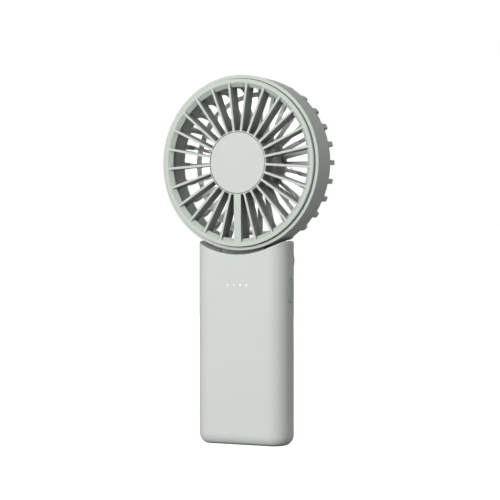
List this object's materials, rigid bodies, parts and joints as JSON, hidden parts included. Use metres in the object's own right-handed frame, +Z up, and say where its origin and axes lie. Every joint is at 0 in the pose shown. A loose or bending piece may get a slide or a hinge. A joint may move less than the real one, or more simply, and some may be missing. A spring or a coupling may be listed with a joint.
{
  "type": "folding hand-held fan",
  "caption": "Hand-held mini fan: a round caged fan head that tilts back on a slim battery handle with a side power button.",
  "frame": {"origin": "middle of the flat face under the handle", "axes": "+Z up along the handle towards the head, -Y the way the air blows, +X towards the side with the power button"},
  "size_m": [0.09, 0.0271, 0.1895],
  "materials": {
    "sage_shell": "fine matte sage green-grey moulding",
    "sage_head": "fine matte sage green-grey moulding",
    "badge_disc": "satin light grey disc",
    "button_plastic": "satin sage moulding",
    "impeller_plastic": "milky translucent white",
    "light_pipe": "milky clear",
    "led": "white light-emitting chip",
    "steel": "plain steel",
    "plated_steel": "bright plated steel",
    "brass_part": "turned brass",
    "magnet": "dark sintered ferrite",
    "copper_wire": "enamelled copper winding",
    "circuit_board": "green solder mask",
    "chips": "black moulded package",
    "cell_wrap": "silver aluminium-laminate pouch film",
    "foam": "dark foam tape",
    "wire_cover": "soft insulated wire"
  },
  "bodies": {
    "handle": {"front_shell": "sage_shell", "rear_cover": "sage_shell", "cover_screws": "steel", "battery_pack": "cell_wrap", "battery_pad": "foam", "battery_leads": "wire_cover", "main_board": "circuit_board", "board_components": "chips", "board_screws": "steel", "usb_c_socket": "plated_steel", "light_guide": "light_pipe", "status_leds": "led", "button_switch": "chips", "hinge_leads": "wire_cover", "hinge_pins": "steel", "hinge_washers": "brass_part", "hinge_pin_caps": "sage_shell"},
    "head": {"fan_housing": "sage_head", "front_grille": "sage_head", "front_disc": "badge_disc", "rear_grille": "sage_head", "grille_screws": "steel", "motor_base": "brass_part", "motor_board": "circuit_board", "stator_core": "steel", "stator_windings": "copper_wire", "shaft_bearings": "plated_steel", "motor_screws": "steel", "motor_leads": "wire_cover"},
    "rotor": {"impeller": "impeller_plastic", "rotor_can": "steel", "rotor_magnet": "magnet", "motor_shaft": "steel", "shaft_clip": "steel"},
    "button": {"power_button": "button_plastic"}
  },
  "joints": [
    {"name": "head_tilt", "type": "hinge", "parent": "handle", "child": "head", "pos_m": [0, 0.0055, 0.0945], "axis": [-1, 0, 0], "range_deg": [0, 90]},
    {"name": "fan_spin", "type": "hinge", "parent": "head", "child": "rotor", "pos_m": [0, 0, 0.1445], "axis": [0, -1, 0], "continuous": true},
    {"name": "button_press", "type": "slide", "parent": "handle", "child": "button", "axis": [-1, 0, 0], "range_m": [0, 0.0006], "stiffness_N_per_m": 1500}
  ]
}
